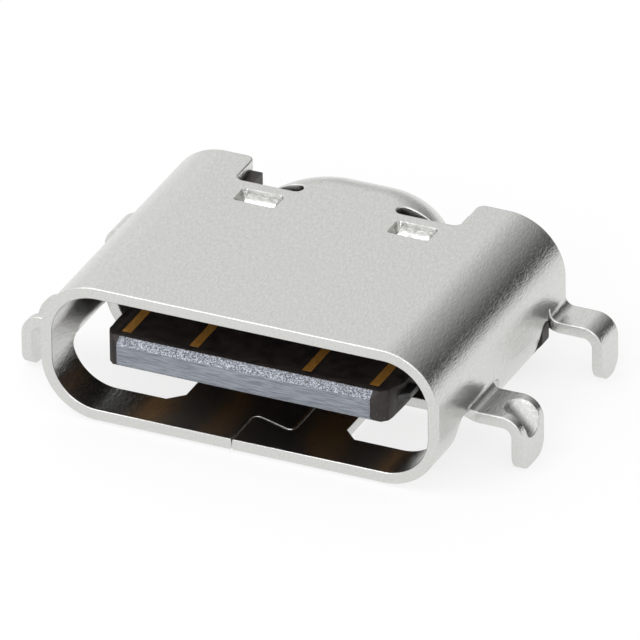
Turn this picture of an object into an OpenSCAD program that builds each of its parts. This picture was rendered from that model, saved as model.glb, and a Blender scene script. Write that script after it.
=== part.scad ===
// Mid-mount USB-C socket, six contacts, power only.
// The working frame has y = 0 at the mouth, y growing into the socket, and z = 0 on the axis of the
// mouth. The finished model stands on the tips of its four legs, centred on the origin.

/* [Mouth] */
// Clear width of the mouth
mouth_w = 8.34; // [8.2:0.02:8.5]
// Clear height of the mouth
mouth_h = 2.56; // [2.5:0.02:2.7]
// Inside radius of the corners of the mouth
mouth_r = 1.0; // [0.8:0.05:1.2]

/* [Shell sheet] */
// Thickness of the sheet that the shell is stamped from
sheet_t = 0.25; // [0.2:0.01:0.3]
// Length of the shell from the mouth to the back of its ears
shell_len = 6.3; // [6.1:0.05:6.8]
// Inside radius of every bend in the legs
bend_r = 0.2; // [0.1:0.01:0.25]
// Distance from the mouth to the rear edge of the roof
roof_len = 5.3; // [5.2:0.05:5.5]
// Clear width of the roof's rear notch, from ear to ear
ear_gap = 5.0; // [4.9:0.05:5.4]
// Radius in and on the corners of the ears
ear_r = 0.18; // [0.05:0.01:0.25]

/* [Shell floor] */
// Depth of the full ring of sheet behind the mouth
lip_len = 1.0; // [0.8:0.05:1.2]
// Width of the strip of floor between the leg cut-outs
strip_w = 3.6; // [3.2:0.1:4.2]
// Corner chamfer where the cut-out turns from the lip to the strip
cut_chamfer = 0.3; // [0.1:0.05:0.5]
// Width of the slit where the two edges of the sheet meet
seam_gap = 0.03; // [0.02:0.01:0.06]
// Sideways place of the seam at the mouth
seam_x = -0.18; // [-0.4:0.02:0.4]
// How far the dovetail key reaches across the seam
key_reach = 1.0; // [0.6:0.05:1.3]
// Distance from the mouth to the root of the dovetail key
key_start = 1.12; // [1.0:0.02:1.3]
// Length of the dovetail key at its root
key_root = 1.3; // [0.8:0.05:1.8]
// How much the key spreads at its end, on each side
key_spread = 0.34; // [0.1:0.02:0.4]
// Radius of the corners of the key
key_r = 0.13; // [0.05:0.01:0.18]

/* [Legs] */
// Height of the top of the leg shoulders below the axis of the mouth
leg_drop = 0.36; // [0.28:0.01:0.45]
// Distance between the outer faces of the left and right legs
leg_span = 11.16; // [10.8:0.02:11.8]
// Length of a leg below the board's top face
leg_stake = 0.98; // [0.94:0.02:1.5]
// Distance from the mouth to the front edge of the front legs
front_leg_y = 1.5; // [1.4:0.02:1.6]
// Width of a front leg
front_leg_w = 1.1; // [0.9:0.02:1.2]
// Width of a rear leg, whose back is flush with the ears
rear_leg_w = 0.8; // [0.6:0.02:0.9]
// Radius of the corners at the tip of a leg
tip_r = 0.36; // [0.15:0.01:0.39]
// Width of the slot behind a front leg, and in front of a rear leg
leg_gap = 0.43; // [0.3:0.01:0.45]
// Height of the round end of each slot above the leg's top face
relief_h = 0.08; // [0.05:0.01:0.25]
// Width of the slit that frees the bend at the front edge of a rear leg
slit_w = 0.08; // [0.05:0.01:0.15]
// Height of that slit above the opening
slit_h = 0.2; // [0.05:0.01:0.3]
// Radius of the stiffening dimple across the outer bend of a front leg
dimple_r = 0.34; // [0.25:0.01:0.36]
// Half the length of the dimple
dimple_reach = 0.42; // [0.3:0.01:0.45]
// Depth of the dimple below the rounded outside of the bend
dimple_depth = 0.25; // [0.18:0.01:0.27]
// Sheet left behind the dimple
dimple_wall = 0.14; // [0.1:0.01:0.16]

/* [Roof details] */
// Width of each pressed stop in the roof
stop_w = 0.92; // [0.6:0.01:1.2]
// Length of each pressed stop, along the socket
stop_l = 0.5; // [0.3:0.01:0.6]
// Distance from the centre of the socket to the centre of a stop
stop_x = 1.715; // [1.5:0.005:1.9]
// Distance from the mouth to the rear edge of a stop
stop_y = 5.0; // [4.9:0.02:5.05]
// Depth of the pocket that a stop leaves in the roof
stop_pocket = 0.15; // [0.08:0.01:0.17]
// How far a stop stands proud inside the roof
stop_proud = 0.07; // [0.04:0.01:0.09]
// Radius of the corners of a stop
stop_r = 0.1; // [0.05:0.01:0.14]
// How much narrower a stop is inside the roof than its pocket, on each side
stop_draft = 0.05; // [0.02:0.01:0.08]

/* [Back cover] */
// Width of the neck that carries the back cover
neck_w = 2.1; // [1.6:0.05:2.4]
// Gap between the roof's rear edge and the front edge of the cover's shoulders
slot_l = 0.32; // [0.2:0.02:0.4]
// Radius of the roll from the cover's flat top into its sides and back
cover_roll = 1.19; // [0.9:0.01:1.25]
// Radius, seen from above, of the corners of the cover's flat top
cover_corner = 0.63; // [0.5:0.01:0.7]
// Half the straight stretch between those corners
cover_straight = 0.44; // [0.3:0.01:0.6]
// How far the centre of those corners lies before the roof's rear edge
cover_lead = 0.05; // [0.01:0.01:0.15]
// Height of the cover's lower edge below the axis of the mouth
cover_drop = 0.2; // [0:0.01:0.3]

/* [Housing] */
// How far the front face of the base stands before the slots beside the rear legs
base_lead = 0.01; // [0.01:0.01:0.05]
// How far the back of the base stays inside the shell
base_setback = 0.1; // [0.02:0.02:0.2]
// Running clearance between the base and the inside of the shell
base_fit = 0.03; // [0.01:0.01:0.05]
// Width of the open bay in the back of the base, for the cover
bay_w = 4.6; // [4.5:0.02:4.8]
// Height of the bay's floor above the axis of the mouth
bay_z = 0.84; // [0.7:0.02:0.9]
// Clearance between the moulding and the cover that dips into it
cover_fit = 0.1; // [0.05:0.01:0.12]
// Clearance between the block inside the cover and the cover
block_fit = 0.15; // [0.13:0.01:0.25]
// Height of the side lugs' lower edge below the axis of the mouth
lug_low = 1.0; // [0.8:0.02:1.1]
// Clearance round each side lug in its opening
lug_fit = 0.03; // [0.01:0.01:0.06]

/* [Tongue] */
// Width of the tongue's plastic
tongue_w = 6.4; // [6.2:0.02:6.6]
// Thickness of the tongue
tongue_t = 0.7; // [0.66:0.01:0.74]
// Distance from the mouth to the front face of the tongue
tongue_y = 0.16; // [0.1:0.02:1.0]
// Depth of the bevels on the tongue's front edges, along the socket
nose_l = 0.2; // [0.1:0.01:0.4]
// Height of those bevels
nose_h = 0.16; // [0.05:0.01:0.2]
// Size of the cut across the tongue's front corners, seen from above
tongue_corner = 0.42; // [0.2:0.02:0.6]
// Bevel along the long edges of the tongue
edge_bevel = 0.08; // [0.02:0.01:0.12]

/* [Mid-plate] */
// Width of the mid-plate
plate_w = 6.69; // [6.6:0.01:6.8]
// Thickness of the mid-plate
plate_t = 0.15; // [0.1:0.01:0.2]
// Distance from the mouth to the front edge of the mid-plate
plate_y = 0.7; // [0.5:0.02:1.2]
// Corner cut at the front of the mid-plate
plate_corner = 0.3; // [0.1:0.02:0.4]
// Distance from the mouth to the front of the latch notches
latch_y = 1.4; // [1.3:0.02:2.0]
// Length of a latch notch
latch_l = 1.0; // [0.6:0.05:1.4]
// Depth of a latch notch
latch_d = 0.35; // [0.2:0.01:0.4]

/* [Contacts] */
// Width of a contact strip
contact_w = 0.21; // [0.18:0.01:0.28]
// Thickness of the contact metal
contact_t = 0.1; // [0.08:0.01:0.12]
// Distance from the mouth to the tips of the ground and power contacts
tip_y = 0.55; // [0.45:0.02:0.8]
// How much further back the tips of the signal contacts lie
tip_setback = 1.05; // [0.3:0.05:1.2]
// Sideways place of the ground contacts
ground_x = 2.75; // [2.7:0.01:2.8]
// Sideways place of the power contacts
power_x = 1.25; // [1.2:0.01:1.3]
// Sideways place of the signal contacts
signal_x = 0.75; // [0.7:0.01:0.8]
// Sideways place of the power tails
power_tail_x = 1.52; // [1.45:0.01:1.6]
// Sideways place of the signal tails
signal_tail_x = 0.5; // [0.4:0.01:0.6]
// Width of a tail
tail_w = 0.3; // [0.2:0.01:0.4]
// Thickness of a tail
tail_t = 0.13; // [0.1:0.01:0.15]
// Distance from the mouth to the ends of the tails
tail_end = 7.3; // [7.1:0.05:7.8]
// Step that brings each tail down to the board behind the base
tail_rise = 0.1; // [0.05:0.01:0.12]
// Distance from the back of the base to that step
tail_run = 0.06; // [0.03:0.01:0.2]
// Distance from the upright webs inside the base to its back
web_setback = 0.6; // [0.5:0.02:0.7]

/* [Terminal carrier] */
// Width of the inner moulding that carries the contacts
carrier_w = 6.3; // [6.1:0.02:6.6]
// Height of the inner moulding
carrier_h = 1.7; // [1.5:0.02:1.9]
// Thickness of plastic left in front of the inner moulding
carrier_skin = 0.24; // [0.15:0.01:0.3]
// Length of the inner moulding
carrier_l = 0.6; // [0.5:0.02:0.7]

/* [Hidden] */
$fn = 64;
e = 0.01;                                   // a cutter's overrun past the face that it cuts

shell_w = mouth_w + 2 * sheet_t;
shell_h = mouth_h + 2 * sheet_t;
shell_r = mouth_r + sheet_t;
board_z = -leg_drop - sheet_t;              // top face of the board, under the leg shoulders
foot_z = board_z - leg_stake;               // tips of the legs
rear_leg_y = shell_len - rear_leg_w;
rear_slot_y = rear_leg_y - leg_gap;
base_y = rear_slot_y - base_lead;           // front and back faces of the base
base_end = shell_len - base_setback;
web_y = base_end - web_setback;
cover_y = roof_len - cover_lead;            // axis of the cover's round corners
cover_top_y = cover_y + cover_corner;
cover_back = cover_top_y + cover_roll;
depth = max(cover_back, tail_end);
slot_y = roof_len + slot_l;                 // front edge of the cover's shoulders
cover_edge_z = -cover_drop;
slot_top = relief_h - leg_drop;             // round ends of the slots beside the legs
front_slot_end = front_leg_y + front_leg_w + leg_gap;

// Moves the working frame onto the stand of the finished model.
module stand() {
    translate([0, -depth / 2, -foot_z]) children();
}

module mirror_x() {
    children();
    mirror([1, 0, 0]) children();
}

// A flat outline drawn in x and z, given depth along y from y0 to y1.
module along_y(y0, y1) {
    translate([0, y1, 0]) rotate([90, 0, 0]) linear_extrude(y1 - y0) children();
}

// A flat outline drawn in y and z, given width along x from x0 to x1.
module along_x(x0, x1) {
    translate([x0, 0, 0]) rotate([90, 0, 90]) linear_extrude(x1 - x0) children();
}

// A closed outline from its right half, whose first and last points lie on the centre line.
function both_sides(half) =
    concat(half, [for (i = [len(half) - 2 : -1 : 1]) [-half[i][0], half[i][1]]]);

module rounded_rect(w, h, r) {
    square([w - 2 * r, h], center = true);
    square([w, h - 2 * r], center = true);
    for (sx = [-1, 1], sy = [-1, 1])
        translate([sx * (w / 2 - r), sy * (h / 2 - r)]) circle(r);
}

// ---- Shell ----------------------------------------------------------------------------------

module shell_section() {
    difference() {
        rounded_rect(shell_w, shell_h, shell_r);
        rounded_rect(mouth_w, mouth_h, mouth_r);
    }
}

// Outline, in y and z, of a slot from y0 to y1 with a round upper end at the height top.
module slot_outline(y0, y1, top) {
    r = (y1 - y0) / 2;
    translate([y0, -shell_h]) square([2 * r, shell_h + top - r]);
    translate([y0 + r, top - r]) circle(r);
}

// The opening that a leg leaves on the +x side: slots before and behind it, and the floor it came from.
module leg_opening(y0, leg_y, leg_w, y1) {
    along_x(shell_w / 2 - shell_r, shell_w) {
        slot_outline(y0, leg_y, slot_top);
        if (y1 < shell_len) slot_outline(leg_y + leg_w, y1, slot_top);
        translate([leg_y - e, -shell_h]) square([leg_w + 2 * e + max(y1 - shell_len, 0), shell_h - leg_drop + bend_r]);
    }
    translate([0, 0, -shell_h]) linear_extrude(shell_h + board_z)
        polygon([[strip_w / 2 + cut_chamfer, y0], [shell_w, y0], [shell_w, y1],
                 [strip_w / 2, y1], [strip_w / 2, y0 + cut_chamfer]]);
}

// Points of an arc that rounds the corner at b, on the way from a to c.
function corner(a, b, c, r) =
    let (u = (a - b) / norm(a - b), v = (c - b) / norm(c - b),
         half = acos(u * v) / 2,
         m = b + (u + v) / norm(u + v) * r / sin(half),
         p = b + u * r / tan(half) - m,
         turn = sign(cross(b - a, c - b)) * (180 - 2 * half))
    [for (i = [0 : 6]) let (t = turn * i / 6)
        m + [p[0] * cos(t) - p[1] * sin(t), p[0] * sin(t) + p[1] * cos(t)]];

function rounded_path(path, r) =
    [path[0], for (i = [1 : len(path) - 2]) each corner(path[i - 1], path[i], path[i + 1], r),
     path[len(path) - 1]];

// The path moved sideways by d, each point along the mean of its two edges' normals.
function beside(path, d) =
    [for (i = [0 : len(path) - 1])
        let (a = path[max(i - 1, 0)], c = path[min(i + 1, len(path) - 1)], u = (c - a) / norm(c - a))
        path[i] + d * [-u[1], u[0]]];

// Plan of the slit between the two edges of the sheet, with its dovetail key.
module seam_plan() {
    y1 = key_start;
    y2 = key_start + key_root;
    x1 = seam_x + key_reach;
    path = rounded_path([[seam_x, -1], [seam_x, y1], [x1, y1 - key_spread], [x1, y2 + key_spread],
                         [seam_x, y2], [seam_x, shell_len + 1]], key_r);
    back = beside(path, -seam_gap / 2);
    polygon(concat(beside(path, seam_gap / 2), [for (i = [len(back) - 1 : -1 : 0]) back[i]]));
}

// Section of a leg from the wall to its tip: out at the board, then down through it.
module leg_section() {
    wall_x = shell_w / 2;
    end_x = leg_span / 2;
    top = -leg_drop;
    outer = bend_r + sheet_t;
    difference() {
        translate([wall_x - sheet_t, board_z]) square([outer, outer]);
        translate([wall_x + bend_r, top + bend_r]) circle(bend_r);
        translate([wall_x, top + bend_r]) square(outer);
        translate([wall_x - sheet_t - e, board_z - e]) difference() {
            square(outer + e);
            translate([outer + e, outer + e]) circle(outer);
        }
    }
    translate([wall_x - sheet_t, top + bend_r - e]) square([sheet_t, 2 * e]);
    translate([wall_x + bend_r, board_z]) square([end_x - wall_x - bend_r - outer, sheet_t]);
    translate([end_x - outer, top - outer]) intersection() {
        difference() {
            circle(outer);
            circle(bend_r);
        }
        square(outer);
    }
    translate([end_x - sheet_t, foot_z]) square([sheet_t, top - outer - foot_z]);
}

// Outline of a leg seen from its side: straight edges and a tip with rounded corners.
module leg_outline(y0, w) {
    translate([y0, foot_z + tip_r]) square([w, shell_h]);
    translate([y0 + tip_r, foot_z]) square([w - 2 * tip_r, tip_r + e]);
    for (y = [y0 + tip_r, y0 + w - tip_r]) translate([y, foot_z + tip_r]) circle(tip_r);
}

module leg(y0, w) {
    intersection() {
        along_y(y0, y0 + w) leg_section();
        along_x(0, leg_span) leg_outline(y0, w);
    }
}

// A round-ended rod of radius r laid at 45 degrees across the outer bend of a front leg, its
// skin depth below the rounded outside of the bend.
module dimple_rod(r, depth) {
    outer = bend_r + sheet_t;
    out = (outer - depth + r) / sqrt(2) - outer;
    translate([leg_span / 2 + out, front_leg_y + front_leg_w / 2, -leg_drop + out])
        rotate([0, 135, 0]) {
            cylinder(h = 2 * dimple_reach, r = r, center = true);
            for (s = [-1, 1]) translate([0, 0, s * dimple_reach]) sphere(r);
        }
}

module front_leg() {
    room = 2 * dimple_reach;
    difference() {
        union() {
            leg(front_leg_y, front_leg_w);
            // the back of the dimple, proud inside the bend
            intersection() {
                dimple_rod(dimple_r + dimple_wall, dimple_depth + dimple_wall);
                translate([leg_span / 2 - sheet_t - room, front_leg_y, board_z - room])
                    cube([room + e, front_leg_w, room + e]);
            }
        }
        dimple_rod(dimple_r, dimple_depth);
    }
}

// A pressed stop's block, smaller than its pocket by inset on each side.
module stop_block(inset, z0, h) {
    translate([stop_x, stop_y - stop_l / 2, z0]) linear_extrude(h)
        rounded_rect(stop_w - 2 * inset, stop_l - 2 * inset, stop_r);
}

// Half section of the cover: flat top, roll and upright skirt, drawn as radius and height.
module cover_section(inset) {
    top = shell_h / 2 - inset;
    roll = cover_roll - inset;
    skirt = shell_h / 2 - cover_roll - cover_edge_z;
    translate([0, cover_edge_z]) square([cover_corner, top - cover_edge_z]);
    translate([0, cover_edge_z]) square([cover_corner + roll, skirt + e]);
    intersection() {
        translate([cover_corner, shell_h / 2 - cover_roll]) circle(roll);
        translate([0, cover_edge_z]) square([cover_corner + roll, top - cover_edge_z]);
    }
}

// The space under the cover's outer surface, shrunk by inset.
module cover_dome(inset, low) {
    h = 2 * shell_h;
    difference() {
        union() {
            for (s = [-1, 1]) translate([s * cover_straight, cover_y, 0])
                rotate_extrude() cover_section(inset);
            translate([-cover_straight, cover_y, 0]) rotate([90, 0, 90])
                linear_extrude(2 * cover_straight) cover_section(inset);
        }
        translate([-shell_w, cover_y - shell_w, -h / 2]) cube([2 * shell_w, shell_w, h]);
        translate([-shell_w, 0, low - h]) cube([2 * shell_w, 2 * shell_len, h]);
    }
}

// The room that the cover's wall takes in the moulding, with its clearance.
module cover_room() {
    difference() {
        cover_dome(-cover_fit, cover_edge_z - cover_fit);
        cover_dome(sheet_t + cover_fit, cover_edge_z - shell_h);
        translate([-shell_w, 0, -shell_h]) cube([2 * shell_w, slot_y - cover_fit, 2 * shell_h]);
    }
}

module back_cover() {
    difference() {
        cover_dome(0, cover_edge_z);
        cover_dome(sheet_t, cover_edge_z - 1);
        translate([-shell_w, 0, cover_edge_z - 1]) cube([2 * shell_w, cover_y, 2 * shell_h]);
        translate([-shell_w, 0, -shell_h]) cube([2 * shell_w, slot_y, 2 * shell_h]);
    }
    translate([-neck_w / 2, roof_len - e, shell_h / 2 - sheet_t])
        cube([neck_w, slot_y - roof_len + 2 * e, sheet_t]);
}

module shell() {
    color([0.82, 0.82, 0.80]) stand() {
        difference() {
            along_y(0, shell_len) shell_section();
            // rear notch of the roof, between the ears
            translate([-ear_gap / 2, roof_len, 0]) cube([ear_gap, shell_len, shell_h]);
            mirror_x() {
                leg_opening(lip_len, front_leg_y, front_leg_w, front_slot_end);
                leg_opening(rear_slot_y, rear_leg_y, rear_leg_w, shell_len + 1);
                stop_pocket_cut();
                relief_slit();
                ear_corner_cut();
            }
            translate([0, 0, -shell_h]) linear_extrude(shell_h) seam_plan();
        }
        mirror_x() {
            front_leg();
            leg(rear_leg_y, rear_leg_w);
            ear_root_fillet();
            stop_block(stop_draft, mouth_h / 2 - stop_proud, stop_proud + e);
        }
        back_cover();
    }
}

module relief_slit() {
    translate([shell_w / 2 - 2 * sheet_t, rear_leg_y - slit_w, board_z])
        cube([4 * sheet_t, slit_w, sheet_t + relief_h + slit_h]);
}

module stop_pocket_cut() {
    stop_block(0, shell_h / 2 - stop_pocket, shell_h);
}

// Rounds the ear's free corner, seen from above.
module ear_corner_cut() {
    translate([ear_gap / 2, shell_len - ear_r, 0]) linear_extrude(shell_h) difference() {
        translate([-e, 0]) square([ear_r + e, ear_r + e]);
        translate([ear_r, 0]) circle(ear_r);
    }
}

// Fills the inner corner between the roof's rear edge and the ear with a small radius.
module ear_root_fillet() {
    translate([ear_gap / 2 - ear_r, roof_len, mouth_h / 2]) linear_extrude(sheet_t) difference() {
        translate([0, -e]) square([ear_r + e, ear_r + e]);
        translate([0, ear_r]) circle(ear_r);
    }
}

// ---- Contacts -------------------------------------------------------------------------------

// One strip along a face of the tongue, with its tip turned into the plastic. side is 1 or -1.
module contact_strip(x, y0, side) {
    z = side * (tongue_t / 2 - contact_t / 2);
    translate([x - contact_w / 2, y0, z - contact_t / 2])
        cube([contact_w, web_y + contact_t - y0, contact_t]);
    translate([x - contact_w / 2, y0, side > 0 ? z - contact_t : z])
        cube([contact_w, contact_t, contact_t]);
}

// A tail leaves the base a little above the board and steps down onto it.
module tail(x) {
    kink = tail_t * tan(22.5);
    y1 = base_end + tail_run;
    y2 = y1 + tail_rise;
    along_x(x - tail_w / 2, x + tail_w / 2) translate([0, board_z])
        polygon([[web_y, tail_rise], [y1, tail_rise], [y2, 0], [tail_end, 0], [tail_end, tail_t],
                 [y2 + kink, tail_t], [y1 + kink, tail_rise + tail_t], [web_y, tail_rise + tail_t]]);
}

// Upright web that joins a contact's strips to its tail.
module web(x0, x1, z1) {
    w0 = min(x0 - contact_w / 2, x1 - tail_w / 2);
    w1 = max(x0 + contact_w / 2, x1 + tail_w / 2);
    z0 = board_z + tail_rise;
    translate([w0, web_y, z0]) cube([w1 - w0, contact_t, z1 - z0]);
}

// A forked contact: a strip above and below the tongue, on one tail.
module forked_contact(x, tail_x) {
    contact_strip(x, tip_y, 1);
    contact_strip(x, tip_y, -1);
    web(x, tail_x, tongue_t / 2);
    tail(tail_x);
}

module ground_contact() { forked_contact(ground_x, ground_x); }

module power_contact() { forked_contact(power_x, power_tail_x); }

// A signal contact has one strip: the top one lies left of centre, the bottom one right.
module signal_contact(side) {
    z1 = side > 0 ? tongue_t / 2 : -tongue_t / 2 + contact_t;
    contact_strip(-side * signal_x, tip_y + tip_setback, side);
    web(-side * signal_x, -side * signal_tail_x, z1);
    tail(-side * signal_tail_x);
}

module all_contacts() {
    mirror_x() {
        ground_contact();
        power_contact();
    }
    signal_contact(1);
    signal_contact(-1);
}

module ground_contact_right() { color([0.85, 0.65, 0.25]) stand() ground_contact(); }
module ground_contact_left() { color([0.85, 0.65, 0.25]) stand() mirror([1, 0, 0]) ground_contact(); }
module power_contact_right() { color([0.85, 0.65, 0.25]) stand() power_contact(); }
module power_contact_left() { color([0.85, 0.65, 0.25]) stand() mirror([1, 0, 0]) power_contact(); }
module signal_contact_top() { color([0.85, 0.65, 0.25]) stand() signal_contact(1); }
module signal_contact_bottom() { color([0.85, 0.65, 0.25]) stand() signal_contact(-1); }

// ---- Mid-plate ------------------------------------------------------------------------------

module plate_plan() {
    w = plate_w / 2;
    step_y = base_y + carrier_skin;
    end_y = web_y - contact_t;
    polygon(both_sides([
        [0, plate_y], [w - plate_corner, plate_y], [w, plate_y + plate_corner], [w, latch_y],
        [w - latch_d, latch_y], [w - latch_d, latch_y + latch_l], [w, latch_y + latch_l + latch_d],
        [w, step_y], [carrier_w / 2, step_y], [carrier_w / 2, end_y], [0, end_y]]));
}

module plate_body() {
    translate([0, 0, -plate_t / 2]) linear_extrude(plate_t) plate_plan();
}

module mid_plate() { color([0.7, 0.7, 0.7]) stand() plate_body(); }

// ---- Terminal carrier -----------------------------------------------------------------------

module carrier_body() {
    translate([-carrier_w / 2, base_y + carrier_skin, -carrier_h / 2])
        cube([carrier_w, carrier_l, carrier_h]);
}

module terminal_carrier() {
    color([0.16, 0.16, 0.17]) stand() difference() {
        carrier_body();
        cover_room();
        plate_body();
        all_contacts();
    }
}

// ---- Housing --------------------------------------------------------------------------------

// Section of the tongue along the socket: bevelled nose, flat faces.
module tongue_side() {
    t = tongue_t / 2;
    polygon([[tongue_y, -t + nose_h], [tongue_y + nose_l, -t], [base_y + e, -t],
             [base_y + e, t], [tongue_y + nose_l, t], [tongue_y, t - nose_h]]);
}

// Section of the tongue across the socket: long edges bevelled.
module tongue_across() {
    w = tongue_w / 2;
    t = tongue_t / 2;
    b = edge_bevel;
    polygon(both_sides([[0, -t], [w - b, -t], [w, -t + b], [w, t - b], [w - b, t], [0, t]]));
}

// Plan of the tongue: cut front corners, and a shallow recess beside each latch notch.
module tongue_plan() {
    w = tongue_w / 2;
    c = tongue_corner;
    d = latch_d / 2;
    polygon(both_sides([
        [0, tongue_y], [w - c, tongue_y], [w - c / 4, tongue_y + c * 3 / 4], [w, tongue_y + 2 * c],
        [w, latch_y], [w - d, latch_y], [w - d, latch_y + latch_l], [w, latch_y + latch_l + d],
        [w, base_y + e], [0, base_y + e]]));
}

module tongue() {
    intersection() {
        along_x(-tongue_w / 2, tongue_w / 2) tongue_side();
        along_y(tongue_y, base_y + e) tongue_across();
        translate([0, 0, -tongue_t]) linear_extrude(2 * tongue_t) tongue_plan();
    }
}

module base() {
    w = mouth_w - 2 * base_fit;
    h = mouth_h - 2 * base_fit;
    difference() {
        along_y(base_y, base_end) rounded_rect(w, h, mouth_r - base_fit);
        // open bay for the back cover
        translate([-bay_w / 2, roof_len, bay_z]) cube([bay_w, shell_len, shell_h]);
    }
}

// Block that fills the back cover down to its lower edge.
module cover_block() {
    join_y = base_end - sheet_t;
    difference() {
        cover_dome(sheet_t + block_fit, cover_edge_z);
        translate([-shell_w, 0, bay_z]) cube([2 * shell_w, 2 * shell_len, shell_h]);
        translate([-shell_w, 0, -shell_h]) cube([2 * shell_w, join_y, 2 * shell_h]);
    }
}

// Lugs that fill the slots in front of the rear legs, flush with the shell.
module side_lugs() {
    y0 = rear_slot_y + lug_fit;
    y1 = rear_leg_y - lug_fit;
    intersection() {
        along_y(y0, y1) rounded_rect(shell_w, shell_h, shell_r);
        mirror_x() intersection() {
            along_x(mouth_w / 2 - sheet_t, shell_w) slot_outline(y0, y1, slot_top - lug_fit);
            translate([0, 0, -lug_low]) cube([shell_w, shell_len, shell_h]);
        }
    }
}

module housing() {
    color([0.1, 0.1, 0.11]) stand() difference() {
        union() {
            tongue();
            difference() {
                base();
                cover_room();
            }
            cover_block();
            side_lugs();
        }
        carrier_body();
        plate_body();
        all_contacts();
    }
}

shell();
housing();
terminal_carrier();
mid_plate();
ground_contact_left();
ground_contact_right();
power_contact_left();
power_contact_right();
signal_contact_top();
signal_contact_bottom();
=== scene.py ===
# %% [markdown]
# # A mid-mount power socket
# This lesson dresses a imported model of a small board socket: a folded steel shell round a black
# tongue with gold contacts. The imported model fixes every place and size. Each cell adds one real
# piece or one finish, and says how it could be made and why this way was chosen.

# %% Load the fixed frame
import math

import bmesh
import bpy
from mathutils import Matrix, Vector, noise


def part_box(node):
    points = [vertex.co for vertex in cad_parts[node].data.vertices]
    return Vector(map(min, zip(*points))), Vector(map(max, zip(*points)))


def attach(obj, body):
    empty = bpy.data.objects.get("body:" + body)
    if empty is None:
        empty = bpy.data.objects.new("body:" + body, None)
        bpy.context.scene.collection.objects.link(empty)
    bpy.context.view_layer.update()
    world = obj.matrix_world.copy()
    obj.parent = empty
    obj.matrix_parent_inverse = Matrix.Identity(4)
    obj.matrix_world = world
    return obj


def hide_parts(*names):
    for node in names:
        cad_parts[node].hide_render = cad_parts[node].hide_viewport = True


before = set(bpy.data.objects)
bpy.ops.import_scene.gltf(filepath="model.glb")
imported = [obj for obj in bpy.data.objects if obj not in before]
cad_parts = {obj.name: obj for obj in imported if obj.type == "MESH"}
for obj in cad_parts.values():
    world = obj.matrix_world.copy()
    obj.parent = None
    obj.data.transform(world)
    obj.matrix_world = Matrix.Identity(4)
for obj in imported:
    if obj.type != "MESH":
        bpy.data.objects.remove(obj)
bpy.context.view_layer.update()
scene = bpy.context.scene
print("nodes:", sorted(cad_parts))

# %% [markdown]
# ## Units and places
# The socket is about eleven millimetres wide, so all shapes are drawn in millimetres, from the
# middle of the mouth: y = 0 is the mouth's edge and z = 0 is its axis. One matrix then brings each
# finished mesh into the frame, in metres. Drawing at this size also keeps the numbers readable.

# %% The drawing's origin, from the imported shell's box
SHEET = 0.25                       # thickness of the steel, mm
MOUTH_W, MOUTH_H, MOUTH_R = 8.34, 2.56, 1.0
low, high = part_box("shell")
axis_z = high.z - (MOUTH_H / 2 + SHEET) * 0.001
into_frame = Matrix.Translation((0, low.y, axis_z)) @ Matrix.Scale(0.001, 4)
print("mouth edge y = %.3f mm, axis z = %.3f mm" % (low.y * 1000, axis_z * 1000))


# %% A helper that turns a drawn mesh into a piece of the object
def piece(name, bm, material, slot, *nodes):
    """Puts a bmesh drawn in millimetres into the frame as a piece that stands for CAD nodes."""
    mesh = bpy.data.meshes.new(name)
    bm.to_mesh(mesh)
    bm.free()
    return dress(name, mesh, material, slot, *nodes)


def dress(name, mesh, material, slot, *nodes):
    mesh.transform(into_frame)
    for polygon in mesh.polygons:
        polygon.use_smooth = True
        polygon.material_index = 0
    mesh.set_sharp_from_angle(angle=math.radians(40))
    mesh.materials.clear()
    mesh.materials.append(material)
    made = bpy.data.objects.new(name, mesh)
    scene.collection.objects.link(made)
    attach(made, "root")
    if nodes:
        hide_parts(*nodes)
    print(name, "has", len(mesh.polygons), "faces")
    return made


# %% [markdown]
# ## Materials
# Every finish is procedural and reads Object coordinates, so it stays put on the piece. A small
# builder keeps each material short: it adds a node, sets its values and joins it up.

# %% A short way to write node trees
def add(tree, kind, at=(0, 0), **values):
    """Adds a node. Plain names set properties; names starting with in_ set or join inputs."""
    node = tree.nodes.new(kind)
    node.location = at
    for key, value in values.items():
        if not key.startswith("in_"):
            setattr(node, key, value)
    for key, value in values.items():
        if key.startswith("in_"):
            name = key[3:].replace("_", " ")
            socket = node.inputs[int(name)] if name.isdigit() else node.inputs[name]
            if isinstance(value, bpy.types.NodeSocket):
                tree.links.new(value, socket)
            else:
                socket.default_value = value
    return node


def new_material(name):
    material = bpy.data.materials.new(name)
    material.use_nodes = True
    tree = material.node_tree
    tree.nodes.clear()
    out = add(tree, "ShaderNodeOutputMaterial", (900, 0))
    shader = add(tree, "ShaderNodeBsdfPrincipled", (600, 0))
    tree.links.new(shader.outputs[0], out.inputs[0])
    return material, tree, shader


def millimetres(tree, stretch=(1, 1, 1), turn=0.0):
    """Object coordinates in millimetres, stretched and turned about z."""
    where = add(tree, "ShaderNodeTexCoord", (-1100, 0)).outputs["Object"]
    return add(tree, "ShaderNodeMapping", (-900, 0), in_Vector=where,
               in_Scale=tuple(1000 * s for s in stretch), in_Rotation=(0, 0, turn)).outputs[0]


def ramp(tree, factor, stops, at=(0, 0)):
    node = add(tree, "ShaderNodeValToRGB", at, in_Fac=factor)
    elements = node.color_ramp.elements
    while len(elements) < len(stops):
        elements.new(0.5)
    for element, (place, value) in zip(elements, stops):
        element.position = place
        element.color = (*value, 1) if isinstance(value, tuple) else (value, value, value, 1)
    return node.outputs[0]


def maths(tree, operation, a, b=0.0, clamp=False, at=(0, 0)):
    return add(tree, "ShaderNodeMath", at, operation=operation, use_clamp=clamp,
               in_0=a, in_1=b).outputs[0]


# %% [markdown]
# ### Satin nickel on rolled sheet
# The shell is stamped from sheet that was rolled and then plated. Rolling leaves very fine short
# streaks along the socket, and plating rounds them off to a satin. A metal gets its look from what
# it mirrors, so the colour is nearly even, and the grain works through roughness and a tiny bump.

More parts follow.
